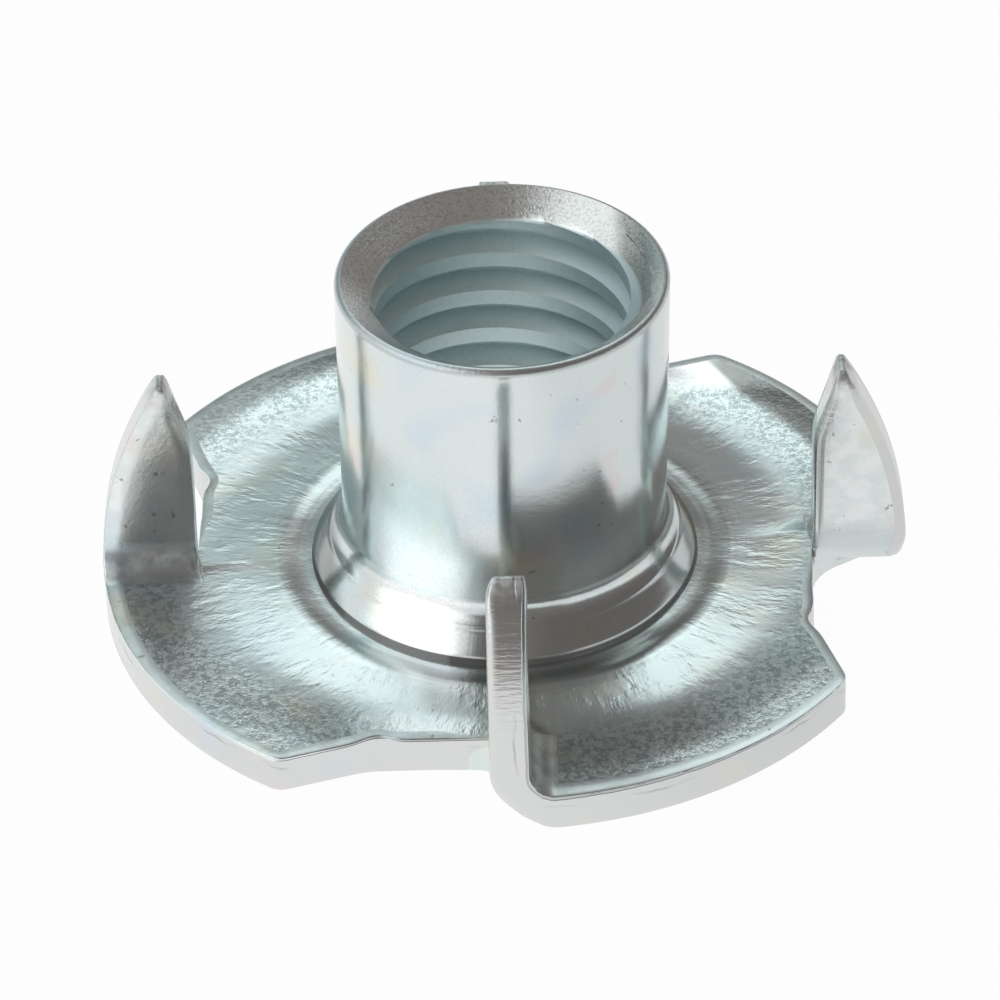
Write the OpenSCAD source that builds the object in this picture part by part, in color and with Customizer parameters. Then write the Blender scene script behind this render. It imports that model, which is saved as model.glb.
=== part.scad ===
// Four-prong tee nut for timber, pressed and folded from one piece of sheet steel.
// A blank is drawn into a flanged barrel, and the barrel is tapped M8 x 1.25. Four
// prongs are lanced from the flange without waste, so each prong's outer edge is a
// stretch of the blank's rim, and the notch beside it has the outline of its inner edge.
// Millimetres. +Z runs along the barrel; the origin is the centre of the flange's underside.

/* [Flange] */
// Diameter of the round blank, and so of the flange
flange_d = 22; // [21:0.5:26]
// Thickness of the sheet
sheet_t = 1.1; // [0.9:0.05:1.3]
// Radius that the blanking die rolls on the flange's upper rim
rim_r = 0.25; // [0.1:0.05:0.35]

/* [Barrel] */
// Outside diameter of the drawn barrel
barrel_d = 9; // [8.8:0.1:9.6]
// Height from the flange's underside to the barrel's mouth
height = 10.2; // [9:0.1:14]
// Minor diameter of the thread, which is the bore's straight wall
bore_d = 6.9; // [6.65:0.05:6.9]
// Radius swept from the barrel's wall down to the flange
foot_r = 1.2; // [0.9:0.05:1.5]
// Degrees of that sweep before it meets the flange in a crease
foot_sweep = 60; // [50:1:75]

/* [Mouth] */
// Diameter of the countersink where it meets the lip
mouth_d = 8.66; // [8.4:0.02:8.7]
// Included angle of the countersink
mouth_angle = 116; // [90:1:120]
// Radius over the lip, from the mouth to the outer wall
lip_r = 0.17; // [0.05:0.01:0.17]

/* [Prongs] */
// Number of prongs
prongs = 4; // [2:1:4]
// Distance from the axis to the straight inner edge of a prong
lance_r = 8.4; // [8:0.1:8.8]
// Inside radius of the fold at a prong's root
fold_r = 0.7; // [0.4:0.05:0.9]
// Length along the flat blank from the prong's plane to where its inner edge turns
straight_l = 3.8; // [3:0.1:4.2]
// Length along the flat blank from the prong's plane to its point
point_l = 6.15; // [5.4:0.05:6.4]
// Height taken off the sharp point
point_trim = 0.12; // [0.05:0.01:0.3]
// Radius of the web that stays in a notch's corner, against the fold
web_r = 1.55; // [0.8:0.05:1.6]
// Radius at the foot of a prong's inner edge
toe_r = 0.9; // [0.5:0.05:1.1]

/* [Hidden] */
$fn = 96;
flange_rad = flange_d / 2;
barrel_rad = barrel_d / 2;
bore_rad = bore_d / 2;
mouth_rad = mouth_d / 2;
wall_t = barrel_rad - bore_rad;

// centre of the two arcs at the barrel's foot, outside and inside the wall
foot_x = barrel_rad + foot_r;
foot_z = sheet_t + foot_r * sin(foot_sweep);

// depth of the countersink, from the mouth to the bore's wall
mouth_depth = (mouth_rad - bore_rad) / tan(mouth_angle / 2);

// The fold: its axis lies fold_y beside the prong's plane, and fold_z above the underside.
fold_y = fold_r + sheet_t / 2;
fold_z = fold_r + sheet_t;
// A length s on the flat blank is found at height blank_z + s on the folded prong, because
// the middle of the sheet keeps its length through the quarter turn.
blank_z = fold_z + fold_y - fold_y * PI / 2;
// how far the prong's outer edge reaches at the top of the fold
root_rad = sqrt(pow(flange_rad, 2) - pow(fold_z - blank_z, 2));
// the point, where the cut leaves the blank's rim
point_rad = sqrt(pow(flange_rad, 2) - pow(point_l, 2));
// the toe meets the flange in a crease, at the same angle as the barrel's foot
toe_z = sheet_t + toe_r * sin(foot_sweep);
// The web's arc starts on the lanced line, just ahead of the prong, and sweeps this far.
web_y = -sheet_t;
web_sweep = 60;
// spare length that carries a cutting shape clear of the metal
spare = 2;

// Half section of the flange and the barrel, without the bore's entry and mouth.
module stock_section() {
    translate([bore_rad, 0]) square([flange_rad - bore_rad, sheet_t]);
    translate([bore_rad, 0]) square([wall_t, height]);
    difference() {
        translate([barrel_rad, 0]) square([foot_r, foot_z]);
        translate([foot_x, foot_z]) circle(foot_r);
    }
}

// What a radius r takes off a square corner at [x, y], on the side away from the axis.
module corner_round(x, y, r) {
    difference() {
        translate([x - r, y - r]) square(r + spare);
        translate([x - r, y - r]) circle(r);
        translate([x - r, y - r]) square([r, spare], center = true);
    }
}

// The bore's rounded entry from below, which runs parallel to the foot outside it.
module entry_section() {
    difference() {
        translate([0, -spare]) square([foot_x, foot_z + spare]);
        translate([foot_x, foot_z]) circle(foot_r + wall_t);
    }
}

// The countersink in the barrel's mouth.
module mouth_section() {
    slope = (mouth_rad - bore_rad) / mouth_depth;
    polygon([
        [0, height - mouth_depth - bore_rad / slope],
        [mouth_rad + spare * slope, height + spare],
        [0, height + spare]
    ]);
}

// The drawn stamping before its prongs are lanced.
module stamping() {
    rotate_extrude() difference() {
        stock_section();
        entry_section();
        mouth_section();
        corner_round(barrel_rad, height, lip_r);
        corner_round(flange_rad, sheet_t, rim_r);
    }
}

// Plan of one notch, for a prong on the +X axis. Its inner side is the lanced line, and
// its far side runs out under the fold, with the web rounding the corner between them.
module notch_plan() {
    far_l = flange_rad;
    far_x = lance_r + (far_l - straight_l) * (point_rad - lance_r) / (point_l - straight_l);
    wide_x = flange_rad + spare;
    corner_y = web_y + web_r * tan(web_sweep / 2);
    wide_y = corner_y + (wide_x - lance_r) / tan(web_sweep);
    web_mid = [lance_r + web_r, web_y];
    difference() {
        polygon([
            [lance_r, corner_y],
            [lance_r, -straight_l],
            [far_x, -far_l],
            [wide_x, -far_l],
            [wide_x, wide_y]
        ]);
        difference() {
            polygon([
                web_mid,
                [lance_r, web_y],
                [lance_r, corner_y],
                web_mid + web_r * [-cos(web_sweep), sin(web_sweep)]
            ]);
            translate(web_mid) circle(web_r);
        }
    }
}

// Quarter turn of sheet at the root of a prong, trimmed to the blank's rim.
module fold() {
    intersection() {
        translate([lance_r, fold_y, fold_z])
            rotate([-90, 0, 0])
                rotate([0, 90, 0])
                    rotate_extrude(angle = 90)
                        translate([fold_r, 0]) square([sheet_t, root_rad - lance_r]);
        cylinder(h = fold_z, r = flange_rad);
    }
}

// Outline of the standing prong: radius from the axis across, height up.
module prong_outline() {
    intersection() {
        polygon([
            [lance_r, fold_z],
            [lance_r, blank_z + straight_l],
            [point_rad, blank_z + point_l],
            [flange_rad + spare, blank_z + point_l],
            [flange_rad + spare, fold_z]
        ]);
        translate([0, blank_z]) circle(flange_rad, $fn = 192);
        square([flange_rad + spare, blank_z + point_l - point_trim]);
    }
    difference() {
        translate([lance_r - toe_r, sheet_t / 2]) square([toe_r + fold_r / 2, fold_z - sheet_t / 2]);
        translate([lance_r - toe_r, toe_z]) circle(toe_r);
    }
}

module prong() {
    fold();
    translate([0, sheet_t / 2, 0])
        rotate([90, 0, 0])
            linear_extrude(sheet_t) prong_outline();
}

module tee_nut() {
    color("lightsteelblue") {
        difference() {
            stamping();
            for (i = [0 : prongs - 1]) rotate(i * 360 / prongs)
                translate([0, 0, -spare]) linear_extrude(sheet_t + 2 * spare) notch_plan();
        }
        for (i = [0 : prongs - 1]) rotate(i * 360 / prongs) prong();
    }
}

tee_nut();
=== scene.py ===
"""A four-prong tee nut in zinc-plated steel, modelled as the press makes it."""

from collections import namedtuple
from itertools import pairwise
from math import acos, asin, atan2, cos, exp, hypot, pi, radians, sin, sqrt, tan, tau

import bmesh
import bpy
from bpy.props import FloatProperty, FloatVectorProperty, IntProperty, PointerProperty
from bpy.types import Operator, Panel, PropertyGroup
from mathutils import Matrix, Vector


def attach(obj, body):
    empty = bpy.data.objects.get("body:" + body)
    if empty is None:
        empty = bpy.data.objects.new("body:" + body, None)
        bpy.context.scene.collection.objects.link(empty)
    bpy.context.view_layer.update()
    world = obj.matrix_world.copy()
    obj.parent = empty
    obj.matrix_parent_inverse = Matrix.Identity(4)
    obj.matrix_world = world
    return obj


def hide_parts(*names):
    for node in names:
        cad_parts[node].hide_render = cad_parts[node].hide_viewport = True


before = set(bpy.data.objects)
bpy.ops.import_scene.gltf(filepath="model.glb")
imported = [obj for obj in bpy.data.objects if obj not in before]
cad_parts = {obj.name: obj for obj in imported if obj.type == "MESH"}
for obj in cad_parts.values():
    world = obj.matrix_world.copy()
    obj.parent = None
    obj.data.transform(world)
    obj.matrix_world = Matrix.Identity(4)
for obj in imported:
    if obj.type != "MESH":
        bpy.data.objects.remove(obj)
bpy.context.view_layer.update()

bl_info = {
    "name": "Tee Nut",
    "version": (1, 0, 0),
    "blender": (4, 5, 0),
    "location": "3D View > Sidebar > Tee Nut",
    "description": "Builds a four-prong tee nut and a pale studio for it",
    "category": "Object",
}

MM = 0.001
NODE = "tee_nut"
WHITE = (1.0, 1.0, 1.0, 1.0)


def length(name, description, millimetres):
    """A length in the sidebar, written in millimetres and kept in metres."""
    return FloatProperty(
        name=name,
        description=description,
        default=millimetres * MM,
        unit="LENGTH",
        precision=5,
    )


def angle(name, description, degrees):
    """An angle in the sidebar, written in degrees and kept in radians."""
    return FloatProperty(name=name, description=description, default=radians(degrees), subtype="ANGLE")


def part_of(name, description, share):
    """A share of another size, in the sidebar."""
    return FloatProperty(
        name=name,
        description=description,
        default=share,
        min=0.0,
        max=1.0,
        subtype="FACTOR",
    )


def linear(code):
    """A colour written as sRGB hex, as the linear values that shaders take."""
    channels = [int(code[i : i + 2], 16) / 255 for i in (0, 2, 4)]
    return tuple(c / 12.92 if c <= 0.04045 else ((c + 0.055) / 1.055) ** 2.4 for c in channels) + (1.0,)


def colour(name, description, code):
    """A colour in the sidebar, written as sRGB hex."""
    return FloatVectorProperty(
        name=name,
        description=description,
        default=linear(code),
        size=4,
        min=0.0,
        max=1.0,
        subtype="COLOR",
    )


class StampingSizes(PropertyGroup):
    """The blank, the drawn barrel and the way the press leaves their edges."""

    flange_rad: length("Flange radius", "Radius of the round blank", 11.0)
    sheet_t: length("Sheet", "Thickness of the sheet", 1.1)
    rim_roll: length("Roll-over", "Width that shearing draws down along the upper edges", 0.38)
    roll_lean: angle("Roll-over lean", "Slope that the drawn-down face reaches before its corner", 15)
    roll_corner: part_of("Roll-over corner", "Radius of that corner, as a share of the roll-over", 0.16)
    burr: length("Lower edge", "Radius left along the lower edges", 0.05)
    land: length("Land", "Strip of flat sheet kept beside an edge, which holds its shading", 0.12)
    barrel_rad: length("Barrel radius", "Outside radius of the barrel at its mouth", 4.5)
    barrel_draft: length("Draft", "How much narrower the barrel is at its foot", 0.07)
    barrel_lean: length("Lean", "How far the barrel's mouth stands off the flange's centre", 0.1)
    height: length("Height", "From the underside to the barrel's mouth", 10.2)
    corner_rad: length("Corner", "How far the corner between the rim and a notch is rounded", 0.3)
    entry_rad: length("Entry radius", "Mid-sheet radius round which the bore's entry is drawn", 1.2)
    entry_sweep: angle("Entry sweep", "Turn of that radius down to the flange's upper face", 60)
    crease_rad: length("Crease radius", "Where the barrel's foot meets the flange", 5.3)
    flare_top: length("Flare top", "Height above the flange at which the wall begins to flare", 1.57)
    flare_rad: length("Flare radius", "Hollow radius where the barrel flares into its foot", 0.88)
    flare_turn: angle("Flare turn", "Turn of the flare before the foot steepens again", 50)
    step_rad: length("Step radius", "Radius over the step below the flare", 0.3)
    step_lean: angle("Step lean", "Lean of the step at its steepest", 28.5)
    step_hollow: length("Step hollow", "Radius of the second flare, below the step", 0.8)
    step_side: angle("Side lean", "Lean at which the second flare ends and the foot runs straight", 39.5)
    crease_lip: length("Crease lip", "Height of the steep lip at the bottom of the foot", 0.2)
    groove: length("Groove", "Depth of the groove that the draw leaves round the crease", 0.010)
    bead: length("Bead", "Height of the low bead outside that groove", 0.007)
    bead_width: length("Bead width", "Width of the groove and the bead together", 1.15)
    mouth_rad: length("Mouth radius", "Where the countersink meets the lip", 4.33)
    lip_rad: length("Lip radius", "Radius over the lip into the outer wall", 0.17)


class ProngSizes(PropertyGroup):
    """The lanced line, the fold and the point of each prong."""

    count: IntProperty(name="Prongs", description="Number of prongs", default=4)
    lance_rad: length("Lanced line", "From the axis to a prong's straight inner edge", 8.4)
    lance_gap: length("Lance gap", "Clearance that the tool leaves along the lanced line", 0.08)
    fold_rad: length("Fold radius", "Inside radius of the fold at a prong's root", 0.7)
    straight: length("Straight edge", "From the prong's plane to the turn of its inner edge", 3.8)
    point: length("Point", "Along the flat blank, from the prong's plane to its sharp point", 6.15)
    point_rad: length("Point radius", "Radius on the point", 0.13)
    soft_burr: length("Prong edge", "Radius left on a prong's edges on the outside of its fold", 0.17)
    spread: length("Spread", "How far the metal spreads past the blank's rim at the point", 0.02)
    shoulder: length("Shoulder", "Height over which a prong's top is rounded across the sheet", 0.9)
    shoulder_in: length("Shoulder depth", "How far that rounding goes in on the outside of the fold", 0.32)
    shoulder_share: part_of("Inner shoulder", "Share of that depth on the inside of the fold", 0.35)
    lanced_roll: part_of("Lanced roll-over", "A prong's inner roll-over, as a share of the rim's", 0.7)
    lanced_lean: angle("Lanced lean", "Slope that the roll-over reaches along a prong's inner edge", 28)
    bow: length("Bow", "How hollow a prong's inner face is at the middle of its height", 0.03)
    press: length("Pressed edge", "How far a prong's outer face falls away along its inner edge", 0.02)
    press_width: length("Pressed width", "Width over which it falls away", 0.7)
    web_rad: length("Web radius", "Web that rounds the notch's corner under the fold", 1.55)
    toe: length("Toe", "How far a prong's foot flares on the flange", 0.16)
    corner_lean: length("Corner lean", "How far the cut stands back at its top where it turns", 0.2)
    fold_soft: length("Fold softening", "Extra radius on the fold's outer corner at the rim", 0.38)


class ThreadSizes(PropertyGroup):
    """The tapped thread, M8 x 1.25, and the cones at its ends."""

    pitch: length("Pitch", "Distance between the thread's turns", 1.25)
    crest_rad: length("Crest radius", "Bore radius at the thread's crests", 3.45)
    root_rad: length("Root radius", "Radius at the bottom of the groove", 3.99)
    crest_flat: length("Crest flat", "Width of the flat on a crest", 0.46)
    root_flat: length("Root flat", "Width of the flat at the bottom of the groove", 0.16)
    start: length("Start", "Height at +X of a crest's lower edge", 7.81)
    countersink: length("Countersink", "Depth of the countersink in the mouth", 0.55)


class ZincColours(PropertyGroup):
    """The colours of the zinc plating, its passivation and its wear, and the dark used for painted shade.
    """

    zinc: colour("Zinc", "Plating on the drawn and rolled faces", "DFE7E7")
    zinc_bright: colour("Bright zinc", "Plating where the sheet is smoothest", "F2F6F6")
    zinc_dull: colour("Dull zinc", "Plating in the hollows of the hammered grain", "B2BDBE")
    sheared: colour("Sheared edge", "Plating on the faces that the press cuts", "DBDDDC")
    tapped_zinc: colour("Thread", "Plating in the tapped bore", "E9F5F5")
    # Thread in shade: painted shade on the bore's +X side, and the colour of the thread's speckle
    tapped_shade_and_speckle: colour("Thread in shade", "Duller plating on the bore's +X side", "8FA3AC")
    turned_zinc: colour("Countersink", "Plating on the turned mouth", "F0F4F2")
    yellow_tint: colour("Yellow tint", "Thickest passivation", "EFE3C4")
    blue_tint: colour("Blue tint", "Thinnest passivation", "CBDDEC")
    pink_tint: colour("Pink tint", "Passivation between those", "E9D6D6")
    # Speck: pits and worn points, and also the dark laid as painted shade in creases, folds and hollows
    speck_and_shade: colour("Speck", "Pits, worn points and the soil in creases", "6E6C68")


class StudioColours(PropertyGroup):
    """The colours of the room and the floor."""

    room_walls: colour("Walls", "Walls and ceiling of the room", "F2F4F5")
    back_shade: colour("Back, left", "Shaded wall behind the nut, on its left", "8C9A9A")
    back_shade_right: colour("Back, right", "Shaded wall behind the nut, on its right", "727A7A")
    right_shade: colour("Right", "Shaded side of the room, to the right and in front", "7B7573")
    floor: colour("Floor", "Paper that the nut stands on", "F4F4F4")


def copy_sizes(form, group):
    """Carries every size of a property group over to the form."""
    for name in group.__annotations__:
        setattr(form, name, getattr(group, name))


class Form:
    """The driving sizes, with the ones that follow from them."""

    def __init__(self, scene):
        copy_sizes(self, scene.nut_stamping)
        copy_sizes(self, scene.nut_prongs)
        copy_sizes(self, scene.nut_thread)
        # the fold's middle radius, and the height of its axis; the axis is mid_rad beside the prong
        self.mid_rad = self.fold_rad + self.sheet_t / 2
        self.axis_z = self.fold_rad + self.sheet_t
        self.quarter_run = self.mid_rad * pi / 2
        # the centre of the round at the bore's entry
        self.entry_x = self.barrel_rad + self.entry_rad
        self.entry_z = self.sheet_t + self.entry_rad * sin(self.entry_sweep)
        self.wall = self.barrel_rad - self.crest_rad
        # the slanted part of the lanced line rises to the blank's rim at the point
        point_u = sqrt(self.flange_rad**2 - self.point**2) + self.spread
        self.slant = (point_u - self.lance_rad) / (self.point - self.straight)


# How finely each stretch is divided
SLOPE_STEPS = 4
CORNER_STEPS = 4
ROLL_STEPS = SLOPE_STEPS + CORNER_STEPS
FACE_STEPS = 5
BURR_STEPS = 3
FOLD_STEPS = 12
FLAT_COLUMNS = 12
RIM_COLUMNS = 40
BARREL_COLUMNS = 192
ROWS_PER_TURN = 20

# How near points are before they are merged: within one skin, and where skins meet
SAME_POINT = 2e-7
SAME_JOINT = 1e-6

# A length or an angle below this counts as none
TINY = 1e-9

# Share of its flat land, or of its roll-over, that an edge keeps where it dies out at the fold
THINNED = 0.4

# An edge that bends more than this is shaded sharp
SHARP_ANGLE = radians(32)


def ease(t):
    """Smooth step from 0 to 1."""
    t = min(max(t, 0.0), 1.0)
    return t * t * (3 - 2 * t)


def mix(a, b, t):
    """A value or point between two others."""
    return a + (b - a) * t


def spaced(first, last, count):
    """Values or points at even steps from one to another, both ends included."""
    return [mix(first, last, step / count) for step in range(count + 1)]


def lanced(form, s, side):
    """Radius of the lanced line at s along the blank; side is 1 for the prong and -1 for the flange."""
    softness = 0.22 * MM
    past = -s - form.straight
    rise = softness * log_blend(past / softness)
    return form.lance_rad + side * form.lance_gap / 2 + form.slant * rise


def log_blend(x):
    """Zero below 0 and x above it, with a soft bend between."""
    return (x + sqrt(x * x + 1)) / 2


def edge_profile(form, roll, land, burr, lean_back=0.0, lean=None):
    """Round a sheared edge from the upper face to the lower: (distance in from the edge, height).

    The face is drawn down in a slope that steepens to a small round corner. lean is the slope it
    reaches, and lean_back how far the cut face below stands back at its top.
    """
    lean, corner = lean or form.roll_lean, form.roll_corner * roll
    reach = roll - corner * (1 - sin(lean))
    first, last = tan(lean / 4), tan(lean)
    places = [(roll + land, form.sheet_t)]
    for way in spaced(0.0, reach, SLOPE_STEPS):
        fall = first * way + (last - first) / 2 * way * way / max(reach, TINY)
        places.append((roll - way, form.sheet_t - fall))
    top = form.sheet_t - (first + last) / 2 * reach - corner * cos(lean)
    for turn in spaced(lean, pi / 2, CORNER_STEPS)[1:]:
        places.append((corner * (1 - sin(turn)), top + corner * cos(turn)))
    places += [(0.0, z) for z in spaced(top, burr, FACE_STEPS)[1:]]
    for turn in spaced(0.0, pi / 2, BURR_STEPS)[1:]:
        places.append((burr * (1 - cos(turn)), burr * (1 - sin(turn))))
    places.append((burr + land, 0.0))
    full = form.sheet_t - burr
    return [(d + lean_back * max((z - burr) / full, 0.0), z) for d, z in places]


def folded(form, u, run, h):
    """Where the fold takes a place on a prong: run is past the fold's start, h from mid-sheet."""
    turn = min(run / form.mid_rad, pi / 2)
    rise = max(run - form.quarter_run, 0.0)
    reach = form.mid_rad - h
    return Vector((u, form.mid_rad - reach * sin(turn), form.axis_z - reach * cos(turn) + rise))


class Skin:
    """Gathers grids of points into one mesh, whose shared borders are merged at the end."""

    def __init__(self):
        self.mesh = bmesh.new()
        self.edge_map = self.mesh.loops.layers.uv.new("edge")
        self.finish = self.mesh.faces.layers.int.new("finish")

    def grid(self, rows, finish, places=None):
        """Skins rows of points.

        finish is one finish, or one for each column of faces. places gives each point's run along
        an edge and depth down it.
        """
        verts = [[self.mesh.verts.new(point) for point in row] for row in rows]
        for i, (low, high) in enumerate(pairwise(verts)):
            for j in range(len(low) - 1):
                face = self.mesh.faces.new((low[j], low[j + 1], high[j + 1], high[j]))
                face[self.finish] = finish if isinstance(finish, int) else finish[j]
                if places is None:
                    continue
                corners = (places[i][j], places[i][j + 1], places[i + 1][j + 1], places[i + 1][j])
                for loop, corner in zip(face.loops, corners):
                    loop[self.edge_map].uv = corner

    def to_mesh(self, name):
        """The finished mesh, with its shared borders merged."""
        mesh = bpy.data.meshes.new(name)
        bmesh.ops.remove_doubles(self.mesh, verts=self.mesh.verts, dist=SAME_POINT)
        self.mesh.to_mesh(mesh)
        self.mesh.free()
        return mesh


# Finishes, in the order of the nut's material slots
FLANGE, BARREL, SHEET, CUT, TAPPED = range(5)


def profile_depths(profile):
    """Depth down an edge's profile from the top of its cut face to each point, in millimetres."""
    depths = [0.0]
    for (in_a, z_a), (in_b, z_b) in pairwise(profile):
        depths.append(depths[-1] + hypot(in_b - in_a, z_b - z_a) / MM)
    face_top = depths[ROLL_STEPS + 1]
    return [depth - face_top for depth in depths]


# The finish of each stretch down an edge: the drawn-down face keeps the sheet's own
EDGE_FINISHES = [SHEET] * (SLOPE_STEPS + 1) + [CUT] * (CORNER_STEPS + FACE_STEPS + BURR_STEPS + 1)


def edge_strip(skin, form, path, first_inward):
    """Sweeps the sheared edge along a plan path of (x, y, roll, land, lean back, way inward or none)."""
    rows, places, run = [], [], 0.0
    # keeps a mitre from reaching far at a sharp corner
    mitre_limit = 0.5
    for i, (x, y, roll, land, lean_back, *aim) in enumerate(path):
        before = path[max(i - 1, 0)]
        after = path[min(i + 1, len(path) - 1)]
        way_in = Vector((x - before[0], y - before[1]))
        way_out = Vector((after[0] - x, after[1] - y))
        tangents = [way.normalized() for way in (way_in, way_out) if way.length > 0]
        tangent = sum(tangents, Vector((0, 0))).normalized()
        inward = Vector((-tangent.y, tangent.x)) / max(tangent.dot(tangents[0]), mitre_limit)
        if aim:
            inward = aim[0]
        if i == 0:
            inward = Vector(first_inward)
        run += way_in.length / MM
        profile = edge_profile(form, roll, land, form.burr, lean_back)
        rows.append([Vector((x + inward.x * d, y + inward.y * d, z)) for d, z in profile])
        places.append([(run, depth) for depth in profile_depths(profile)])
    skin.grid(rows, EDGE_FINISHES, places)
    return rows


def notch_path(form):
    """Plan path along a notch, from the blank's rim in along the lanced line to the web."""

    def inside_rim(s):
        return form.flange_rad - hypot(lanced(form, s, -1), s)

    rim_corner = find_root(inside_rim, -form.point * 1.1, -form.straight)
    bend_start = -form.straight - 0.5 * MM
    bend_end = -form.straight + 0.9 * MM
    slanted_rows, bend_rows, straight_rows = 12, 10, 8
    # where the cut stands back furthest at its top, and over what width
    lean_mid = -form.straight + 0.3 * MM
    lean_width = 0.42 * MM
    # shares of the rim's roll-over along the notch, and where it turns
    notch_roll, bend_roll = 0.5, 0.35
    # near the fold the lance's gap closes, and the roll-over narrows
    gap_start, gap_length, narrow_length = -2.2 * MM, 1.1 * MM, 0.8 * MM
    runs = spaced(rim_corner, bend_start, slanted_rows)
    runs += spaced(bend_start, bend_end, bend_rows)[1:]
    runs += spaced(bend_end, -form.sheet_t, straight_rows)[1:]
    places = []
    for s in runs:
        u = mix(lanced(form, s, -1), form.lance_rad, ease((s - gap_start) / gap_length))
        bump = exp(-(((s - lean_mid) / lean_width) ** 2))
        fade = mix(THINNED, 1, ease((-form.sheet_t - s) / narrow_length))
        roll = form.rim_roll * mix(notch_roll, bend_roll, bump) * fade
        places.append((u, s, roll, form.land * fade, form.corner_lean * bump))
    return places


def web_line(form, columns):
    """Plan line of the web's lower edge, with the direction into the flange at each place."""
    sweep = radians(60)
    arc = form.web_rad * sweep
    start_y = -form.sheet_t
    tangent = Vector((sin(sweep), cos(sweep)))
    arc_x = form.lance_rad + form.web_rad * (1 - cos(sweep))
    arc_end = Vector((arc_x, start_y + form.web_rad * sin(sweep)))
    last_x = outer_edge(form, 0.0) - form.burr - form.land
    straight = (last_x - arc_end.x) / tangent.x
    # the last place is carried to the fold's start, so that the fold and the web end together
    drop = form.mid_rad - (arc_end.y + tangent.y * straight)
    places = []
    for column in range(columns + 1):
        way = (arc + straight) * column / columns
        turn = min(way / form.web_rad, sweep)
        past = max(way - arc, 0.0)
        corner = Vector((form.web_rad * (1 - cos(turn)), form.web_rad * sin(turn)))
        point = Vector((form.lance_rad, start_y)) + corner + tangent * past
        point.y += drop * ease(past / straight)
        places.append((point, Vector((-cos(turn), sin(turn)))))
    return places


def outer_edge(form, run):
    """Radius of a prong's outer edge, which is the blank's own rim carried up the fold."""
    s = form.mid_rad - run
    return sqrt(form.flange_rad**2 - s * s) + form.spread * ease(run / (form.mid_rad + form.point))


def inner_edge(form, run):
    """Radius of a prong's inner edge."""
    return lanced(form, form.mid_rad - run, 1)


def find_root(value, low, high):
    """Where a rising value passes 0, by halving."""
    halvings = 40
    for _ in range(halvings):
        middle = (low + high) / 2
        if value(middle) < 0:
            low = middle
        else:
            high = middle
    return (low + high) / 2


PointRound = namedtuple("PointRound", "u run lean_in lean_out")


def point_round(form):
    """The circle that rounds a prong's point: radius and run of its centre, and each side's lean."""
    lean_in = atan2(form.slant, 1)
    lean_out = atan2(form.point, form.flange_rad)
    room = form.point_rad * (1 / cos(lean_in) + 1 / cos(lean_out))
    high = form.mid_rad + form.point

    def narrowness(run):
        return room - outer_edge(form, run) + inner_edge(form, run)

    run = find_root(narrowness, high - 2 * MM, high)
    u = inner_edge(form, run) + form.point_rad / cos(lean_in)
    return PointRound(u, run, lean_in, lean_out)


def prong_span(form, run, point):
    """A prong's inner and outer radius at one run."""
    inner, outer = inner_edge(form, run), outer_edge(form, run)
    above = (run - point.run) / form.point_rad
    half = form.point_rad * sqrt(max(1 - above * above, 0.0))
    if above > sin(point.lean_in):
        inner = point.u - half
    if above > sin(point.lean_out):
        outer = point.u + half
    return inner, outer


def prong_loop(form, inner, outer, thin):
    """Points round a prong's section, as (radius, height from mid-sheet).

    thin holds how much the sheet has thinned above its middle and below it.
    """
    # near the point both edges shrink to fit, with a little flat sheet left between them
    room = (outer - inner) / 2
    fit = min(1.0, room * 0.98 / (form.rim_roll + form.land))
    profile = edge_profile(form, form.rim_roll * fit, form.land * fit, form.soft_burr * fit)
    mid = form.sheet_t / 2
    outside = [Vector((outer - d, (z - mid) * thin[z < mid])) for d, z in profile]
    roll = form.rim_roll * form.lanced_roll * fit
    profile = edge_profile(form, roll, form.land * fit, form.soft_burr * fit, lean=form.lanced_lean)
    inside = [Vector((inner + d, (z - mid) * thin[z < mid])) for d, z in reversed(profile)]
    return outside, inside


def prong_shift(form, place, inner, way):
    """How far a place on a prong's section moves across the sheet, as the lancing and folding bend it."""
    lower_bow, press_rate = 0.3, 6
    upper = place.y / form.sheet_t + 0.5
    hollow = form.bow * sin(pi * way) ** 2 * mix(lower_bow, 1, upper)
    edge = max(1 - (place.x - inner) / form.press_width, 0.0)
    return form.press * edge**2 * (1 - upper) * ease(way * press_rate) - hollow


def blade_runs(form, point):
    """Runs of a prong's rows, closer together where its inner edge bends and round its point."""
    low_rows, bend_rows, high_rows, tip_rows = 10, 8, 10, 8
    bend = form.mid_rad + form.straight
    bend_start, bend_end = bend - 0.5 * MM, bend + 0.7 * MM
    runs = spaced(form.quarter_run, bend_start, low_rows)
    runs += spaced(bend_start, bend_end, bend_rows)[1:]
    runs += spaced(bend_end, point.run, high_rows)[1:]
    turns = spaced(0.0, pi / 2, tip_rows)[1:]
    return runs + [point.run + form.point_rad * sin(turn) for turn in turns]


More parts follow.
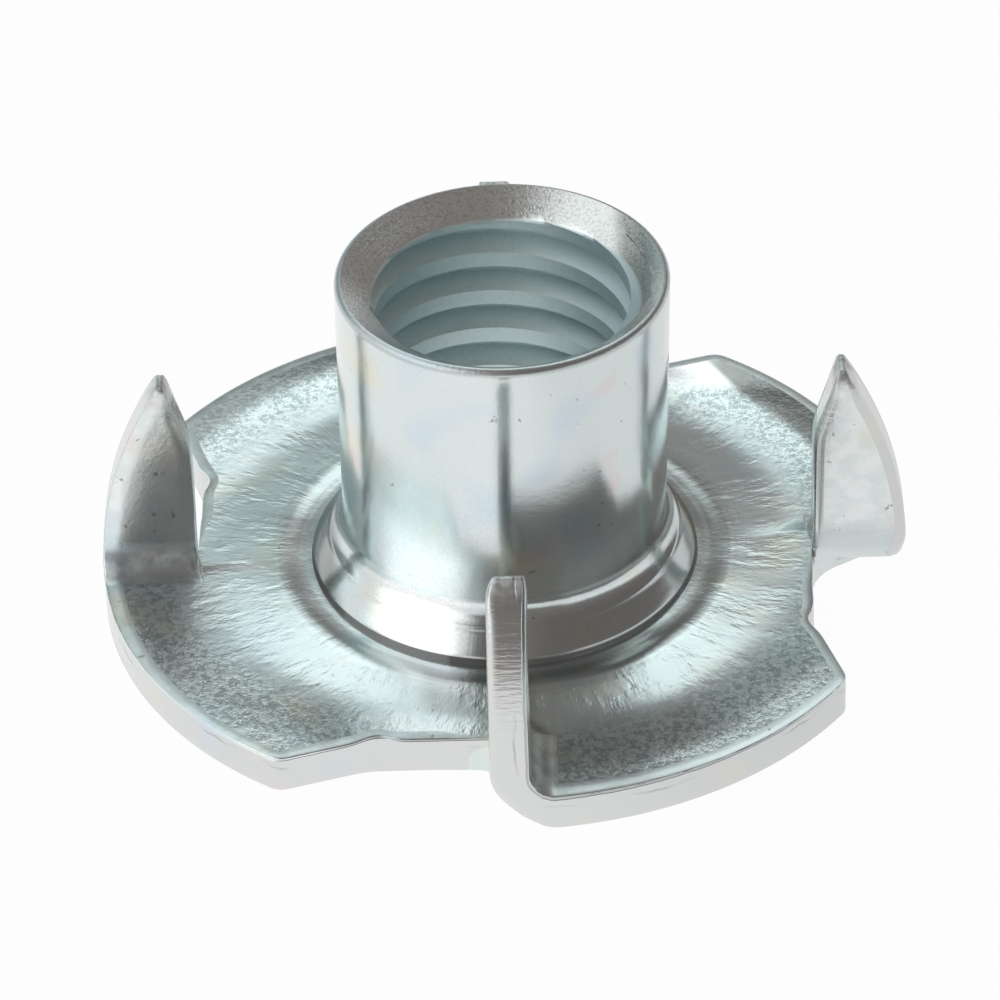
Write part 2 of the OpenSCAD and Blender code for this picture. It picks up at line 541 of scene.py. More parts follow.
def prong_blade(skin, form):
    """The standing part of a prong, from the top of its fold to its rounded point."""
    point = point_round(form)
    top_run = point.run + form.point_rad
    strips = {"outside": [], "inside": [], "front": [], "back": []}
    marks = {"outside": [], "inside": []}
    depths = profile_depths(edge_profile(form, form.rim_roll, form.land, form.soft_burr))
    for run in blade_runs(form, point):
        inner, outer = prong_span(form, run, point)
        near_top = max(1 - (top_run - run) / form.shoulder, 0.0)
        rounding = form.shoulder_in * (1 - sqrt(max(1 - near_top**2, 0.0))) / (form.sheet_t / 2)
        thin = (1 - form.shoulder_share * rounding, 1 - rounding)
        outside, inside = prong_loop(form, inner, outer, thin)
        front = spaced(outside[-1], inside[0], FLAT_COLUMNS)
        back = spaced(inside[-1], outside[0], FLAT_COLUMNS)
        way = (run - form.quarter_run) / (top_run - form.quarter_run)
        for name, section in zip(strips, (outside, inside, front, back)):
            shifted = [(place.x, place.y + prong_shift(form, place, inner, way)) for place in section]
            strips[name].append([folded(form, u, run, h) for u, h in shifted])
        marks["outside"].append([(run / MM, depth) for depth in depths])
        marks["inside"].append([(run / MM, depth) for depth in reversed(depths)])
    skin.grid(strips["outside"], EDGE_FINISHES, marks["outside"])
    skin.grid(strips["inside"], EDGE_FINISHES[::-1], marks["inside"])
    skin.grid(strips["front"], SHEET)
    skin.grid(strips["back"], SHEET)


def toe_flare(form, z):
    """How far the foot of a prong's inner edge spreads towards the barrel at height z."""
    rise = min(max((z - form.sheet_t) / form.fold_rad, 0.0), 1.0)
    return form.toe * (1 - sqrt(1 - (1 - rise) ** 2))


def fold_turns(form):
    """Turns of the fold at each row, from the standing prong down to the flat flange."""
    outer_rad = form.fold_rad + form.sheet_t
    meets = acos((form.axis_z - form.sheet_t) / outer_rad)
    turns = spaced(pi / 2, meets, FOLD_STEPS)[:-1]
    heights = [z for _, z in edge_profile(form, 0.0, 0.0, form.burr)[ROLL_STEPS + 1 : -1]]
    turns += [acos((form.axis_z - z) / outer_rad) for z in heights]
    return turns, heights


def inner_place(form, k, turn):
    """A place on the fold's inner edge, which stops where it meets the flange's upper face.

    k counts from the convex side. The roll-over fades out towards the flange, so the place
    where a line stops is found in a few rounds.
    """
    corner = BURR_STEPS + 1
    mid, at = form.sheet_t / 2, pi / 2
    rounds, fade_rate = 12, 1.4
    for _ in range(rounds):
        fade = ease(at / (pi / 2) * fade_rate)
        burr = mix(form.burr, form.soft_burr, fade)
        roll = form.rim_roll * form.lanced_roll * fade
        profile = edge_profile(form, roll, form.land * mix(THINNED, 1, fade), burr, lean=form.lanced_lean)
        d, z = profile[-1 - k]
        height = 0.0 if k <= corner else z
        stop = acos(min(form.fold_rad / (form.axis_z - height), 1.0))
        at = max(turn, stop)
    base = mix(form.lance_rad, inner_edge(form, at * form.mid_rad), at / (pi / 2))
    place = folded(form, base + d, at * form.mid_rad, z - mid)
    if stop > turn - TINY:
        place.z = form.sheet_t
    place.x -= toe_flare(form, place.z) * ease((z - burr) / (form.sheet_t - burr))
    return place


def prong_fold(skin, form):
    """The quarter turn at a prong's root, with the toe and the web that tie it to the flange."""
    turns, heights = fold_turns(form)
    mid = form.sheet_t / 2
    outside_rows, back_rows, wall_rows, front_rows = [], [], [], []
    marks, wall_marks = [], []
    corner_count = BURR_STEPS + 1
    for row, turn in enumerate(turns):
        run = turn * form.mid_rad
        outer = outer_edge(form, run)
        burr = mix(form.burr, form.soft_burr, ease(turn / (pi / 2))) + form.fold_soft * sin(2 * turn) ** 2
        outer_profile = edge_profile(form, form.rim_roll, form.land, burr)
        outside = [folded(form, outer - d, run, z - mid) for d, z in outer_profile]
        inside = [inner_place(form, k, turn) for k in range(len(outer_profile))]
        outside_rows.append(outside)
        wall_rows.append(inside[corner_count:])
        back_rows.append(spaced(inside[-1], outside[0], FLAT_COLUMNS))
        if row <= FOLD_STEPS:
            front = spaced(inside[0], outside[-1], FLAT_COLUMNS)
            front_rows.append(inside[: corner_count + 1][::-1] + front[1:])
        depths = profile_depths(outer_profile)
        marks.append([(run / MM, depth) for depth in depths])
        wall_marks.append([(run / MM, depth) for depth in depths[::-1][corner_count:]])
    skin.grid(outside_rows, EDGE_FINISHES, marks)
    skin.grid(wall_rows, EDGE_FINISHES[::-1][corner_count:], wall_marks)
    skin.grid(back_rows, SHEET)
    skin.grid(front_rows, SHEET)
    outer_column = [row[-1] for row in outside_rows[FOLD_STEPS:]]
    return fold_web(skin, form, front_rows[-1], heights, outer_column)


def fold_web(skin, form, top_row, heights, outer_column):
    """The lower half of the fold, joined by the web to the notch's side below the flange's top."""
    columns = len(top_row) - 1
    line = web_line(form, columns)
    outer_rad = form.fold_rad + form.sheet_t
    # the fold's skin leans over to the web's line within this height, and meets it this softly
    blend_height, softness = 0.55 * form.sheet_t, 0.12 * MM
    rows = [top_row]
    for z, outer_place in zip(heights[1:], outer_column[1:]):
        share = ease((form.sheet_t - z) / blend_height)
        below = max(form.burr - z, 0.0)
        inset = form.burr - sqrt(form.burr**2 - below**2)
        fold_y = form.mid_rad - sqrt(outer_rad**2 - (form.axis_z - z) ** 2)
        row = []
        for column, (point, inward) in enumerate(line):
            x = mix(top_row[column].x, point.x + inward.x * inset, share)
            web_y = mix(top_row[column].y, point.y + inward.y * inset, share)
            soft = softness * share
            gap = fold_y - web_y
            y = (fold_y + web_y - sqrt(gap * gap + soft * soft)) / 2 + soft * soft / (4 * outer_rad)
            row.append(Vector((x, y, z)))
        row[-1] = outer_place.copy()
        rows.append(row)
    ring = []
    for column, (place, (_, inward)) in enumerate(zip(rows[-1], line)):
        reach = form.land * THINNED * (1 - column / columns)
        ring.append(place + Vector((inward.x, inward.y, 0)) * reach)
    rows.append(ring)
    skin.grid(rows, SHEET)
    return rows


def quarter_edge(form):
    """Plan path from a fold's start, round the rim and along the next prong's notch."""
    notch = [(-y, x, *rest) for x, y, *rest in notch_path(form)]
    start = asin(form.mid_rad / form.flange_rad)
    end = atan2(notch[0][1], notch[0][0])
    path = []
    stop = end - form.corner_rad / form.flange_rad
    for column in range(RIM_COLUMNS):
        way = column / RIM_COLUMNS
        turn = mix(start, stop, way)
        roll = mix(form.rim_roll, notch[0][2], 1 - (1 - way) ** 2)
        path.append((form.flange_rad * cos(turn), form.flange_rad * sin(turn), roll, form.land, 0.0))
    corner, clearance = Vector(notch[0][:2]), 1.25 * form.corner_rad
    clear = [place for place in notch if (Vector(place[:2]) - corner).length > clearance]
    return path + rounded_corner(form, end, notch) + clear


def rounded_corner(form, end, notch):
    """The rounded corner between the rim and a notch, whose inner lines all meet in one mitre."""
    corner = Vector(notch[0][:2])
    along = (Vector(notch[1][:2]) - corner).normalized()
    rim_in = -Vector((cos(end), sin(end)))
    notch_in = Vector((-along.y, along.x))
    roll, land = notch[0][2:4]
    mitre = corner + (rim_in + notch_in) / (1 + rim_in.dot(notch_in)) * (roll + land)
    first = corner - Vector((rim_in.y, -rim_in.x)) * form.corner_rad
    last = corner + along * form.corner_rad
    places, steps = [], 6
    for way in spaced(0.0, 1.0, steps):
        place = mix(mix(first, corner, way), mix(corner, last, way), way)
        places.append((place.x, place.y, roll, land, 0.0, (mitre - place) / (roll + land)))
    return places


def make_quarter(form):
    """One quarter of the lanced flange, with its prong folded up."""
    skin = Skin()
    prong_blade(skin, form)
    web_rows = prong_fold(skin, form)
    rows = edge_strip(skin, form, quarter_edge(form), first_inward=(-1, 0))
    # the notch's side is carried to the crease where the next prong leaves the flange
    crease = [web_rows[0][0]] * (ROLL_STEPS + 2) + [row[0] for row in web_rows[1:]]
    last = [Vector((-place.y, place.x, place.z)) for place in crease]
    steps, run_length = 6, 0.6
    bridge = list(zip(*(spaced(a, b, steps) for a, b in zip(rows[-1], last))))
    depths = profile_depths(edge_profile(form, form.rim_roll, form.land, form.burr))
    marks = [[(run, depth) for depth in depths] for run in spaced(0.0, run_length, steps)]
    skin.grid(bridge, EDGE_FINISHES, marks)
    return skin.to_mesh("quarter")


class Graph:
    """A node tree, with the sums that its parts are made from."""

    def __init__(self, tree):
        self.tree = tree
        tree.nodes.clear()

    def add(self, kind, links=None, **settings):
        """Adds a node with its settings. An input takes a value, a socket or a node's first output."""
        node = self.tree.nodes.new(kind)
        for name, value in settings.items():
            setattr(node, name, value)
        for name, value in (links or {}).items():
            if isinstance(value, bpy.types.Node):
                value = value.outputs[0]
            if isinstance(value, bpy.types.NodeSocket):
                self.tree.links.new(value, node.inputs[name])
            else:
                node.inputs[name].default_value = value
        return node

    def chain(self, operation, *values):
        """Joins two or more values by the same operation, one after another."""
        joined = values[0]
        for value in values[1:]:
            joined = self.add("ShaderNodeMath", {0: joined, 1: value}, operation=operation)
        return joined

    def product(self, *values):
        return self.chain("MULTIPLY", *values)

    def total(self, *values):
        return self.chain("ADD", *values)

    def fade(self, *bounds, low=0.0, high=1.0):
        """Eases from low to high as each value goes from its start to its end: (value, start, end)."""
        shares = []
        for value, start, end in bounds:
            links = {"Value": value, "From Min": start, "From Max": end}
            shares.append(self.add("ShaderNodeMapRange", links, interpolation_type="SMOOTHSTEP"))
        if (low, high) == (0.0, 1.0):
            return self.product(*shares)
        return self.total(self.product(*shares, high - low), low)

    def window(self, value, start, end, soft):
        """1 between start and end, easing to 0 over soft beyond them."""
        return self.fade((value, start - soft, start), (value, end + soft, end))

    def coat(self, base, *coats):
        """Lays coats of colour over a base, one after another: (amount, colour)."""
        for amount, colour in coats:
            links = {0: amount, 6: base, 7: colour}
            base = self.add("ShaderNodeMix", links, data_type="RGBA").outputs[2]
        return base


def new_tree(name, inputs):
    """A geometry node tree with named inputs: (name, socket type, default)."""
    tree = bpy.data.node_groups.new(name, "GeometryNodeTree")
    tree.interface.new_socket("Geometry", in_out="INPUT", socket_type="NodeSocketGeometry")
    for label, kind, default in inputs:
        socket = tree.interface.new_socket(label, in_out="INPUT", socket_type=kind)
        if default is not None:
            socket.default_value = default
    tree.interface.new_socket("Geometry", in_out="OUTPUT", socket_type="NodeSocketGeometry")
    return Graph(tree)


def finish_tree(g, geometry, material):
    """Ends a tree: its copies are made real and given their material."""
    real = g.add("GeometryNodeRealizeInstances", {"Geometry": geometry})
    dressed = g.add("GeometryNodeSetMaterial", {"Geometry": real, "Material": material})
    g.add("NodeGroupOutput", {"Geometry": dressed})
    return g.tree


def run_tree(tree, mesh, values):
    """Runs a tree on a mesh and gives the result as a plain mesh."""
    carrier = bpy.data.objects.new(tree.name, mesh)
    bpy.context.scene.collection.objects.link(carrier)
    modifier = carrier.modifiers.new(tree.name, "NODES")
    modifier.node_group = tree
    for item in tree.interface.items_tree:
        if item.item_type == "SOCKET" and item.in_out == "INPUT" and item.name in values:
            modifier[item.identifier] = values[item.name]
    bpy.context.view_layer.update()
    depsgraph = bpy.context.evaluated_depsgraph_get()
    result = bpy.data.meshes.new_from_object(carrier.evaluated_get(depsgraph), depsgraph=depsgraph)
    bpy.data.objects.remove(carrier)
    return result


def ring_tree():
    """Repeats a piece round the axis."""
    inputs = [("Count", "NodeSocketInt", 4), ("Material", "NodeSocketMaterial", None)]
    g = new_tree("prongs_round_the_axis", inputs)
    source = g.add("NodeGroupInput").outputs
    points = g.add("GeometryNodePoints", {"Count": source["Count"]})
    turn = g.product(g.chain("DIVIDE", g.add("GeometryNodeInputIndex"), source["Count"]), tau)
    spin = g.add("ShaderNodeCombineXYZ", {"Z": turn})
    links = {"Points": points, "Instance": source["Geometry"], "Rotation": spin}
    copies = g.add("GeometryNodeInstanceOnPoints", links)
    return finish_tree(g, copies, source["Material"])


def thread_tree():
    """A tapped bore on a flat grid: its rows follow the helix, and the cones cut the ends."""
    sizes = ("Pitch", "Crest radius", "Root radius", "Crest flat", "Root flat", "Start", "Top")
    ends = ("Mouth radius", "Countersink", "Entry centre", "Entry height", "Entry radius")
    counts = ("Turns", "Columns", "Rows")
    inputs = [(name, "NodeSocketFloat", 0.0) for name in sizes + ends]
    inputs += [(name, "NodeSocketInt", 1) for name in counts]
    inputs.append(("Material", "NodeSocketMaterial", None))
    g = new_tree("tapped_bore", inputs)
    source = g.add("NodeGroupInput").outputs
    pitch, crest_rad, root_rad, crest_flat, root_flat, start, top = (source[name] for name in sizes)
    mouth_rad, countersink, entry_x, entry_z, entry_rad = (source[name] for name in ends)
    turns, columns, rows = (source[name] for name in counts)

    # a flat sheet, whose X goes round the bore and whose Y goes up the thread's turns
    cells = g.total(g.product(turns, rows), 1.0)
    links = {"Size X": 1.0, "Size Y": 1.0, "Vertices X": g.total(columns, 1.0), "Vertices Y": cells}
    sheet = g.add("GeometryNodeMeshGrid", links)
    place = g.add("ShaderNodeSeparateXYZ", {0: g.add("GeometryNodeInputPosition")}).outputs
    around = g.total(place["X"], 0.5)
    turns_up = g.product(g.total(place["Y"], 0.5), turns)
    # a row's number is rounded, so that corners of the profile fall exactly on rows
    row = g.add("ShaderNodeMath", {0: g.product(turns_up, rows)}, operation="ROUND")
    turn = g.add("ShaderNodeMath", {0: g.chain("DIVIDE", g.total(row, 0.5), rows)}, operation="FLOOR")
    part = g.chain("DIVIDE", g.chain("SUBTRACT", row, g.product(turn, rows)), rows)

    # each turn goes over its crest, down a flank, along its root and up the other flank:
    # (first and last share of its rows, rise, deepening)
    flank = g.product(g.chain("SUBTRACT", pitch, crest_flat, root_flat), 0.5)
    depth = g.chain("SUBTRACT", root_rad, crest_rad)
    stretches = (
        (0.0, 0.25, crest_flat, 0.0),
        (0.25, 0.55, flank, depth),
        (0.55, 0.7, root_flat, 0.0),
        (0.7, 1.0, flank, g.product(depth, -1.0)),
    )
    climb, groove = 0.0, 0.0
    for first, last, rise, deepening in stretches:
        links = {"Value": part, "From Min": first, "From Max": last}
        share = g.add("ShaderNodeMapRange", links, clamp=True)
        climb = g.total(climb, g.product(share, rise))
        groove = g.total(groove, g.product(share, deepening))
    height = g.total(g.product(g.total(turn, around), pitch), climb, start)
    z = g.chain("MINIMUM", g.chain("MAXIMUM", height, 0.0), top)

    # the widest of the thread, the countersink and the rounded entry
    sink = g.chain("DIVIDE", g.chain("SUBTRACT", mouth_rad, crest_rad), countersink)
    cone = g.chain("SUBTRACT", mouth_rad, g.product(g.chain("SUBTRACT", top, z), sink))
    below = g.chain("MAXIMUM", g.chain("SUBTRACT", entry_z, z), 0.0)
    chord = g.chain("SUBTRACT", g.product(entry_rad, entry_rad), g.product(below, below))
    entry = g.chain("SUBTRACT", entry_x, g.add("ShaderNodeMath", {0: chord}, operation="SQRT"))
    radius = g.chain("MAXIMUM", g.total(crest_rad, groove), cone, entry)
    # at the very mouth and entry the grid ends on their circles, whatever the thread does there
    ends_here = (
        (g.chain("GREATER_THAN", height, top), mouth_rad),
        (g.chain("LESS_THAN", height, 0.0), entry),
    )
    for past_end, end_rad in ends_here:
        kept = g.product(radius, g.chain("SUBTRACT", 1.0, past_end))
        radius = g.total(kept, g.product(end_rad, past_end))
    bearing = g.product(around, tau)
    across = [g.add("ShaderNodeMath", {0: bearing}, operation=name) for name in ("COSINE", "SINE")]
    x, y = (g.product(radius, way) for way in across)
    spot = g.add("ShaderNodeCombineXYZ", {"X": x, "Y": y, "Z": z})
    bore = g.add("GeometryNodeSetPosition", {"Geometry": sheet, "Position": spot})
    closed = g.add("GeometryNodeMergeByDistance", {"Geometry": bore, "Distance": SAME_POINT})
    return finish_tree(g, closed, source["Material"])


def make_bore(form, material):
    """The countersink, the thread and the bore's rounded entry, as one surface."""
    turns, turns_below = 10, 8
    values = {
        "Pitch": form.pitch,
        "Crest radius": form.crest_rad,
        "Root radius": form.root_rad,
        "Crest flat": form.crest_flat,
        "Root flat": form.root_flat,
        "Start": form.start - turns_below * form.pitch,
        "Top": form.height,
        "Mouth radius": form.mouth_rad,
        "Countersink": form.countersink,
        "Entry centre": form.entry_x,
        "Entry height": form.entry_z,
        "Entry radius": form.entry_rad + form.wall,
        "Turns": turns,
        "Columns": BARREL_COLUMNS,
        "Rows": ROWS_PER_TURN,
        "Material": material,
    }
    return run_tree(thread_tree(), bpy.data.meshes.new("bore"), values)


def barrel_outline(form):
    """Half section outside the barrel: (radius, height) from the mouth down to the flange."""
    lip_rows, wall_rows, arc_rows = 7, 10, 8
    top, lip_x = form.height, form.barrel_rad - form.lip_rad
    places = [(form.mouth_rad, top)]
    for turn in spaced(0.0, pi / 2, lip_rows)[1:]:
        places.append((lip_x + form.lip_rad * sin(turn), top - form.lip_rad * (1 - cos(turn))))
    wall_foot = Vector((form.barrel_rad - form.barrel_draft, form.sheet_t + form.flare_top))
    wall_top = Vector((form.barrel_rad, top - form.lip_rad))
    places += [tuple(place) for place in spaced(wall_top, wall_foot, wall_rows)[1:]]
    arcs = [
        (form.flare_rad, 0.0, form.flare_turn),
        (-form.step_rad, form.flare_turn, form.step_lean),
        (form.step_hollow, form.step_lean, form.step_side),
    ]
    for radius, first, last in arcs:
        start_x, start_z = places[-1]
        for turn in spaced(first, last, arc_rows)[1:]:
            x = start_x + radius * (cos(first) - cos(turn))
            places.append((x, start_z - radius * (sin(turn) - sin(first))))
    lip_slope = 0.18
    side, crease = Vector(places[-1]), Vector((form.crease_rad, form.sheet_t))
    knee = crease + form.crease_lip * Vector((-lip_slope, 1.0))
    # the ends of both flats keep a row close by, which holds their shading
    places += [tuple(mix(side, knee, way)) for way in (0.3, 0.6, 0.9)]
    places += [tuple(mix(knee, crease, way)) for way in (0.1, 0.5, 0.9, 1.0)]
    return places


def bead_outline(form):
    """Half section of the flange beside the foot: a shallow groove, then a low bead."""
    # shares of the width: where the groove is full, where it turns to the bead, and where that falls
    groove_full, turn_start, turn_length, fall_start, fall_length = 0.25, 0.37, 0.35, 0.8, 0.2
    places, rows = [], 24
    for way in spaced(0.0, 1.0, rows):
        rise = (form.groove + form.bead) * ease((way - turn_start) / turn_length)
        rise -= form.groove * ease(way / groove_full)
        rise -= form.bead * ease((way - fall_start) / fall_length)
        places.append((form.crease_rad + form.bead_width * way, form.sheet_t + rise))
    return places


def make_barrel(form):
    """The outside of the barrel from its lip to its crease, and the struck ring round that."""
    skin = Skin()
    for outline, finish in ((barrel_outline(form), BARREL), (bead_outline(form), FLANGE)):
        columns = []
        for turn in spaced(0.0, tau, BARREL_COLUMNS):
            columns.append([Vector((r * cos(turn), r * sin(turn), z)) for r, z in outline])
        skin.grid(columns, finish)
    return skin.to_mesh("barrel")


def fill_flat(mesh, height, finish):
    """Closes the open flat face at one height, between its outer and inner boundaries."""
    layer = mesh.faces.layers.int["finish"]
    level = []
    for edge in mesh.edges:
        if edge.is_boundary and all(abs(vert.co.z - height) < SAME_JOINT for vert in edge.verts):
            level.append(edge)
    result = bmesh.ops.triangle_fill(mesh, use_beauty=True, edges=level)
    for face in result["geom"]:
        if isinstance(face, bmesh.types.BMFace):
            face[layer] = finish


def lean_barrel(mesh, form):
    """Stands the barrel a little off square, as the draw left it."""
    for vert in mesh.verts:
        if vert.co.z > form.sheet_t and hypot(vert.co.x, vert.co.y) < form.entry_x:
            vert.co.x += form.barrel_lean * (vert.co.z - form.sheet_t) / (form.height - form.sheet_t)


# Cloudy noise. A metal's place is in millimetres, so there its scale is in grains to the millimetre.
NOISE = "ShaderNodeTexNoise"


class MetalGraph(Graph):
    """A plated metal's shader, with its place in millimetres and round the axis to hand."""

    def __init__(self, name, tones):
        self.material = bpy.data.materials.new(name)
        self.material.use_nodes = True
        super().__init__(self.material.node_tree)
        self.tones = tones
        where = self.add("ShaderNodeTexCoord").outputs["Object"]
        self.place = self.add("ShaderNodeVectorMath", {0: where, 1: (1 / MM,) * 3}, operation="MULTIPLY")
        self.x, self.y, self.z = self.add("ShaderNodeSeparateXYZ", {0: self.place}).outputs
        squares = self.total(self.product(self.x, self.x), self.product(self.y, self.y))
        self.radius = self.add("ShaderNodeMath", {0: squares}, operation="SQRT")

    def polar(self, spin, radial=0.0, upward=0.0):
        """A place with its own scale round the axis, away from it and along it.

        It is turned askew, so that the noise's own lattice never lies along the streaks.
        """
        askew = (0.6, 0.5, 0.3)
        x, y = (self.product(self.chain("DIVIDE", way, self.radius), spin) for way in (self.x, self.y))
        far = self.total(self.product(self.radius, radial), self.product(self.z, upward))
        spot = self.add("ShaderNodeCombineXYZ", {"X": x, "Y": y, "Z": far})
        return self.add("ShaderNodeMapping", {"Vector": spot, "Rotation": askew})

    def tinted(self, colour, strength):
        """Faint clouds of yellow, blue and pink, as thin clear passivation gives."""
        clouds = self.add(NOISE, {"Vector": self.place, "Scale": 0.42, "Detail": 1.0})
        others = self.add(NOISE, {"Vector": self.place, "Scale": 0.75, "Detail": 1.0})
        return self.coat(
            colour,
            (self.fade((clouds, 0.58, 0.75), high=strength), self.tones.yellow_tint),
            (self.fade((clouds, 0.42, 0.28), high=strength), self.tones.blue_tint),
            (self.fade((others, 0.62, 0.76), high=strength), self.tones.pink_tint),
        )

    def specks(self, rarity):
        """Small dark pits in the plating; the higher the rarity, the fewer."""
        soft, darkest = 0.06, 0.6
        pits = self.add(NOISE, {"Vector": self.place, "Scale": 2.6, "Detail": 3.0, "Roughness": 0.65})
        return self.fade((pits, rarity, rarity + soft), high=darkest)

    def worn_point(self):
        """Mottled wear on the prongs' points, where the plating is thin."""
        wear_start, wear_full, darkest = 6.0, 7.4, 0.6
        spots = self.add(NOISE, {"Vector": self.place, "Scale": 3.5, "Detail": 3.0, "Roughness": 0.6})
        return self.fade((self.z, wear_start, wear_full), (spots, 0.42, 0.62), high=darkest)

    def finish(self, colour, roughness, height):
        """The material with its shader joined; height is the relief in millimetres."""
        bump = self.add("ShaderNodeBump", {"Height": height, "Distance": MM, "Strength": 1.0})
        links = {"Base Color": colour, "Metallic": 1.0, "Roughness": roughness, "Normal": bump}
        self.add("ShaderNodeOutputMaterial", {"Surface": self.add("ShaderNodeBsdfPrincipled", links)})
        return self.material


# In the five materials, x, y, z, radii and depths are in millimetres.


def struck_flange(tones):
    """Bright zinc on the struck face of the flange.

    The punch strikes a ring round the barrel and brushes it along its radii, so the ring glows
    and scatters light sideways. Outside it the sheet keeps a fine hammered grain with painted
    sparkle. Painted shade and painted highlights in its colour stand in for what the sheet mirrors.
    """
    g = MetalGraph("zinc_plated_struck_flange", tones)
    x, y = g.x, g.y
    streak_depth, grain_depth, swell_depth = 0.038, 0.012, 0.02
    bare_rough, ring_rough, grain_rough = 0.16, 0.14, 0.1

    # the ring's borders wander, and lie further out on the left
    wander = g.total(g.add(NOISE, {"Vector": g.polar(1.3), "Scale": 1.0}), -0.5)
    reach = g.total(g.radius, g.product(wander, 0.8), g.fade((x, -5.0, -9.0), high=-0.5))
    ring = g.fade((reach, 5.5, 7.0), (reach, 9.2, 8.0))
    brushed = g.add(NOISE, {"Vector": g.polar(26.0, 1.3), "Scale": 1.0, "Detail": 3.0, "Roughness": 0.6})
    patches = g.fade((g.add(NOISE, {"Vector": g.place, "Scale": 1.4}), 0.4, 0.6), low=0.2)
    streaks = g.product(g.total(brushed, -0.5), patches)

    # the grain starts nearer the barrel on the far right; it is drawn coarser than it is, to show
    far_right = g.fade((y, 5.2, 6.4), (x, 2.0, 3.0), (reach, 6.0, 7.0))
    outer = g.chain("MAXIMUM", g.fade((reach, 7.8, 9.0)), far_right)
    grain = g.add(NOISE, {"Vector": g.place, "Scale": 6.0, "Detail": 2.5, "Roughness": 0.7})
    # painted sparkle: white specks in the grain's colour, standing in for glints
    facets = g.add("ShaderNodeCombineXYZ", {"X": g.z, "Y": x, "Z": y})
    painted_sparkle = g.fade((g.add(NOISE, {"Vector": facets, "Scale": 10.0}), 0.58, 0.7))

    # broad slopes of the sheet: a dish and its lip, a rise to the back, and one corner bent up
    dish = g.fade((reach, 5.9, 8.0), high=-0.23)
    lip = g.product(g.fade((reach, 8.0, 10.2), high=0.2), g.fade((x, -7.0, -3.0), low=0.3))
    rise = g.product(g.fade((y, 1.5, 9.5), high=0.42), g.fade((x, 1.0, 7.0), low=1.0, high=0.1))
    corner = g.fade((y, 7.1, 9.9), (x, 1.5, 4.5), high=0.4)
    swell = g.add(NOISE, {"Vector": g.place, "Scale": 0.7, "Detail": 1.0})
    # painted highlight: a white patch at the back right, where the grain is also shallower
    painted_glint = g.product(g.window(x, 3.5, 6.4, 1.2), g.fade((y, 7.0, 8.0)))
    hammered = g.product(g.fade((outer, 0.0, 1.0), low=0.25), g.fade((painted_glint, 0.0, 1.0), low=1.0, high=0.3))
    height = g.total(
        dish,
        lip,
        rise,
        corner,
        g.product(ring, streaks, streak_depth),
        g.product(hammered, grain, grain_depth),
        g.product(swell, swell_depth),
    )
    roughness = g.total(bare_rough, g.product(ring, ring_rough), g.product(outer, grain_rough))

    # painted shade: a ring round the crease with a strip beside it on the right, a band at the rim's
    # back left, a patch in front of the barrel and a wedge at the back right
    edge = g.total(g.radius, g.product(wander, 0.3))
    # crease: a ring of painted shade, fainter on the left
    crease = g.product(g.window(edge, 5.72, 6.15, 0.14), g.fade((x, -6.0, -3.0), low=0.1, high=0.3))
    right_painted_shade = g.fade((edge, 6.3, 5.95), (x, -0.5, 1.5), high=0.24)
    # worn: a band of painted shade at the rim's back left
    worn = g.fade((x, 0.0, -3.0), (edge, 9.5, 10.2), (y, 2.0, 6.0), high=0.62)
    front = g.product(g.window(x, -2.0, 0.3, 0.6), g.window(edge, 6.1, 7.3, 0.5))
    front_painted_shade = g.product(front, g.fade((y, -4.0, -5.0), high=0.35))
    wedge_edge = g.total(edge, g.fade((x, 5.2, 7.2), low=-1.1, high=0.0))
    painted_shade_wedge = g.fade((wedge_edge, 9.5, 9.9), (x, 5.0, 5.4), (y, 3.0, 5.0), high=0.75)
    painted_shade_wedge = g.product(painted_shade_wedge, g.fade((x, 5.4, 6.4), low=0.3))
    hollows = g.product(outer, g.fade((grain, 0.58, 0.4)))
    plated = g.coat(tones.zinc, (hollows, tones.zinc_dull), (g.product(painted_sparkle, outer), WHITE))
    colour = g.coat(
        g.tinted(plated, 0.22),
        (crease, tones.speck_and_shade),
        (right_painted_shade, tones.speck_and_shade),
        (g.total(worn, front_painted_shade), tones.speck_and_shade),
        (painted_glint, WHITE),
        (painted_shade_wedge, tones.speck_and_shade),
        (g.specks(0.69), tones.speck_and_shade),
    )
    return g.finish(colour, roughness, height)


